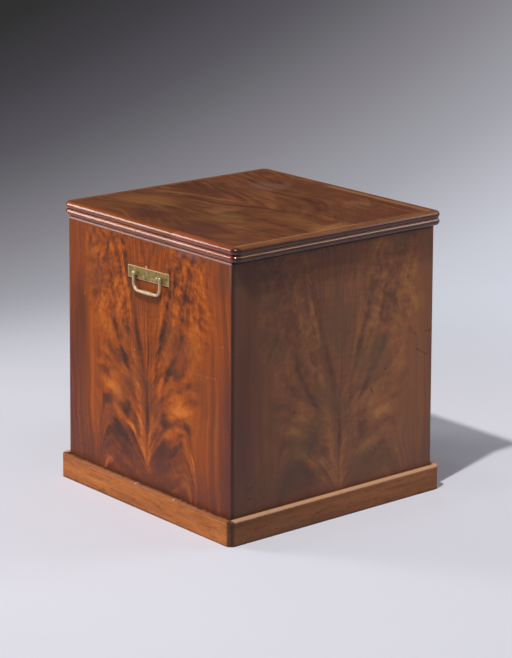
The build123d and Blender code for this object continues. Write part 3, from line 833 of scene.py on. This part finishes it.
def plate(side):
    """A handle's backplate: dark olive in the middle, with painted highlights, over some rubbing,
    along its edges and on its lugs.
    """
    middle, degrees = PLATE_PLACES[side]
    tilt = math.radians(degrees)
    paint = Paint(f"plate_brass_{side}")
    x, y, z = paint.x, paint.y, paint.z
    off = y - middle
    drop = z - PIVOT_HEIGHT
    along = paint.size(off * math.cos(tilt) - drop * math.sin(tilt))
    up = paint.size(off * math.sin(tilt) + drop * math.cos(tilt))
    cloud = paint.noise(x * 210.0, y * 210.0, z * 210.0 + 2.0, detail=3.0, rough=0.6)
    wide = paint.noise(x * 55.0, y * 55.0, z * 55.0 + 2.0)
    dark = paint.rise(cloud * 0.6 + wide, -0.1, 0.4) * 0.8
    colour = paint.mix(dark, tint(152, 130, 68), tint(108, 88, 34))
    colour = paint.mix(paint.rise(wide - cloud * 0.5, 0.05, 0.45) * 0.65, colour, tint(198, 174, 122))
    # Painted highlights along the edges, over some rubbing
    edge = paint.least(HALF_PLATE_LENGTH - along, HALF_PLATE_HEIGHT - up) + cloud * 0.0006
    colour = paint.mix(paint.rise(edge, 0.0016, 0.0004) * 0.85, colour, tint(226, 192, 150))
    # Painted highlights on the lugs
    lug = paint.rise(paint.size(x), HALF + 0.0018, HALF + 0.0030)
    colour = paint.mix(lug * 0.75, colour, tint(206, 182, 126))
    return paint.surface(colour, cloud * 0.12 + 0.42, cloud, 0.0005, Metallic=0.4)


zinc = metal(
    "old_zinc",
    base=tint(150, 152, 154),
    dark=tint(104, 106, 108),
    pale=tint(178, 180, 182),
    roughness=0.5,
    seed=1.0,
    metallic=0.85,
    grain=40.0,
)
bail_brass = metal(
    "bail_brass",
    base=tint(212, 190, 152),
    dark=tint(146, 120, 82),
    pale=tint(238, 216, 188),
    roughness=0.36,
    seed=3.0,
    metallic=0.55,
    grain=230.0,
    depth=0.0005,
    tarnish=0.6,
)
screw_brass = metal(
    "screw_brass",
    base=tint(128, 108, 62),
    dark=tint(78, 56, 34),
    pale=tint(160, 140, 90),
    roughness=0.5,
    seed=6.0,
    metallic=0.6,
    grain=260.0,
)
hinge_brass = metal(
    "hinge_brass",
    base=tint(176, 148, 84),
    dark=tint(104, 82, 44),
    pale=tint(200, 178, 116),
    roughness=0.4,
    seed=4.0,
    metallic=0.9,
)
iron = metal(
    "dark_iron",
    base=tint(66, 56, 50),
    dark=tint(40, 32, 28),
    pale=tint(98, 84, 74),
    roughness=0.5,
    seed=5.0,
    metallic=0.8,
    grain=300.0,
)

paints["zinc_lining"] = zinc
for name in ("lining_tacks", "hinge_case_screws", "hinge_lid_screws"):
    paints[name] = iron
for side in ("left", "right"):
    paints[f"hinge_{side}_case_leaf"] = hinge_brass
    paints[f"hinge_{side}_lid_leaf"] = hinge_brass
    paints[f"hinge_{side}_pin"] = iron
    paints[f"handle_{side}_plate"] = plate(side)
    paints[f"handle_{side}_bail"] = bail_brass
    paints[f"handle_{side}_screws"] = screw_brass

for name, node in nodes.items():
    node.data.materials.clear()
    node.data.materials.append(paints[name])

# Floor: pale, fading out into the backdrop

FLOOR_RADIUS = 2.6
FLOOR_FADE = (0.55, 1.5)  # from the middle: solid within the first, clear beyond the second
FLOOR_GREY = tint(213, 213, 223)


def floor_material():
    paint = Paint("floor")
    distance = paint.math("SQRT", paint.x * paint.x + paint.y * paint.y)
    solid = paint.node("ShaderNodeBsdfDiffuse", Color=FLOOR_GREY)
    clear = paint.nodes.new("ShaderNodeBsdfTransparent")
    fade = paint.node("ShaderNodeMixShader", Fac=paint.rise(distance, *FLOOR_FADE))
    paint.links.new(solid.outputs[0], fade.inputs[1])
    paint.links.new(clear.outputs[0], fade.inputs[2])
    return paint.finish(fade)


bpy.ops.mesh.primitive_circle_add(vertices=96, radius=FLOOR_RADIUS, fill_type="NGON")
floor = bpy.context.object
floor.name = "floor"
floor.data.materials.append(floor_material())

# World: a plain soft light, and behind the object a backdrop that darkens upwards

# Colours by how far below level the view goes, from the dark top to the floor's grey
BACKDROP = [
    (0.0, tint(44, 44, 45)),
    (0.081, tint(51, 50, 51)),
    (0.114, tint(67, 65, 70)),
    (0.147, tint(89, 87, 93)),
    (0.163, tint(103, 102, 107)),
    (0.196, tint(134, 132, 138)),
    (0.229, tint(162, 162, 170)),
    (0.246, tint(183, 183, 193)),
    (0.262, tint(199, 201, 211)),
    (0.279, tint(208, 211, 221)),
    (0.300, tint(214, 216, 227)),
    (1.0, tint(226, 223, 230)),
]
BACKDROP_RIGHT = (0.7679, -0.6405, 0.0)  # level, to the right in the photograph
BACKDROP_REACH = 0.13  # sideways, where the lean stops growing
LEAN_HEIGHTS = (-0.30, -0.13)
LEAN_SHARES = (0.15, 0.66)  # the backdrop gets paler to the right by so much, at those heights
AMBIENT = (0.92, 0.95, 1.0, 1.0)
AMBIENT_STRENGTH = 0.17

world = bpy.data.worlds.new("studio")
bpy.context.scene.world = world
world.use_nodes = True
tree = world.node_tree
tree.nodes.clear()


def spread(source, start, end):
    """Goes evenly from the first of end to the second as source goes so through start."""
    made = tree.nodes.new("ShaderNodeMapRange")
    for name, number in zip(("From Min", "From Max", "To Min", "To Max"), (*start, *end)):
        made.inputs[name].default_value = number
    tree.links.new(source, made.inputs["Value"])
    return made.outputs["Result"]


def joined(operation, first, second):
    made = tree.nodes.new("ShaderNodeMath")
    made.operation = operation
    tree.links.new(first, made.inputs[0])
    tree.links.new(second, made.inputs[1])
    return made.outputs[0]


def backdrop():
    """A background whose grade leans: it gets paler to the right as well as downwards."""
    toward = tree.nodes.new("ShaderNodeTexCoord").outputs["Generated"]
    upness = tree.nodes.new("ShaderNodeSeparateXYZ")
    tree.links.new(toward, upness.inputs[0])
    sideways = tree.nodes.new("ShaderNodeVectorMath")
    sideways.operation = "DOT_PRODUCT"
    sideways.inputs[1].default_value = BACKDROP_RIGHT
    tree.links.new(toward, sideways.inputs[0])
    reach = (-BACKDROP_REACH, BACKDROP_REACH)
    aside = spread(sideways.outputs["Value"], reach, reach)
    lean = joined("MULTIPLY", aside, spread(upness.outputs["Z"], LEAN_HEIGHTS, LEAN_SHARES))
    grade = tree.nodes.new("ShaderNodeValToRGB")
    fill_ramp(grade, BACKDROP)
    tree.links.new(joined("SUBTRACT", lean, upness.outputs["Z"]), grade.inputs["Fac"])
    made = tree.nodes.new("ShaderNodeBackground")
    tree.links.new(grade.outputs["Color"], made.inputs["Color"])
    return made


ambient = tree.nodes.new("ShaderNodeBackground")
ambient.inputs["Color"].default_value = AMBIENT
ambient.inputs["Strength"].default_value = AMBIENT_STRENGTH
ray = tree.nodes.new("ShaderNodeLightPath")
shiny = joined("MAXIMUM", ray.outputs["Is Glossy Ray"], ray.outputs["Is Transmission Ray"])
choice = tree.nodes.new("ShaderNodeMixShader")
tree.links.new(joined("MAXIMUM", ray.outputs["Is Camera Ray"], shiny), choice.inputs["Fac"])
tree.links.new(ambient.outputs[0], choice.inputs[1])
tree.links.new(backdrop().outputs[0], choice.inputs[2])
world_output = tree.nodes.new("ShaderNodeOutputWorld")
tree.links.new(choice.outputs[0], world_output.inputs["Surface"])

# Lamps. The key lamp's side and height are those of the photograph's shadow on the floor.

LIT_POINT = Vector((0.0, 0.0, 0.25))  # the middle of the chest


def lamp(name, toward, distance, width, height, watts, colour):
    """An area light on the side given, facing the middle of the chest."""
    data = bpy.data.lights.new(name, "AREA")
    data.shape = "RECTANGLE"
    data.size = width
    data.size_y = height
    data.energy = watts
    data.color = colour
    made = bpy.data.objects.new(name, data)
    bpy.context.scene.collection.objects.link(made)
    away = Vector(toward).normalized()
    made.location = LIT_POINT + away * distance
    made.rotation_euler = away.to_track_quat("Z", "Y").to_euler()


lamp("key", (-0.446, -0.192, 0.874), 5.0, 0.18, 0.18, watts=196.0, colour=(1.0, 0.98, 0.95))
lamp("side", (-0.57, 0.78, 0.27), 3.5, 0.95, 1.7, watts=51.0, colour=(1.0, 0.98, 0.96))
lamp("fill", (0.72, -0.46, 0.52), 1.5, 0.7, 0.7, watts=4.5, colour=(0.98, 0.98, 1.0))
lamp("over", (-0.13, 0.03, 0.98), 2.5, 0.15, 0.15, watts=2.5, colour=(1.0, 1.0, 1.0))

# Camera, solved from the box's edges in the photograph. The optical centre lies above the
# picture's middle, as in a picture cropped from a taller one, so the camera is shifted.

CAMERA_PLACE = (-2.67522, -3.20575, 1.41474)
YAW, PITCH, ROLL = 0.6952, 0.1401, 0.0047  # to the right of +Y, down, and right side up, in radians
LENS = 134.889
SENSOR = 36.0
SHIFT = (0.00834, -0.47567)
FAR_END = 50.0

forward = Vector((math.sin(YAW) * math.cos(PITCH), math.cos(YAW) * math.cos(PITCH), -math.sin(PITCH)))
level = Vector((math.cos(YAW), -math.sin(YAW), 0.0))
upright = level.cross(forward)
right = level * math.cos(ROLL) + upright * math.sin(ROLL)
upward = upright * math.cos(ROLL) - level * math.sin(ROLL)
camera_data = bpy.data.cameras.new("camera")
camera_data.lens = LENS
camera_data.sensor_width = SENSOR
camera_data.shift_x, camera_data.shift_y = SHIFT
camera_data.clip_end = FAR_END
camera = bpy.data.objects.new("camera", camera_data)
camera.matrix_world = Matrix((right, upward, -forward)).transposed().to_4x4()
camera.location = CAMERA_PLACE
bpy.context.scene.collection.objects.link(camera)
bpy.context.scene.camera = camera
bpy.context.scene.view_settings.view_transform = "Standard"
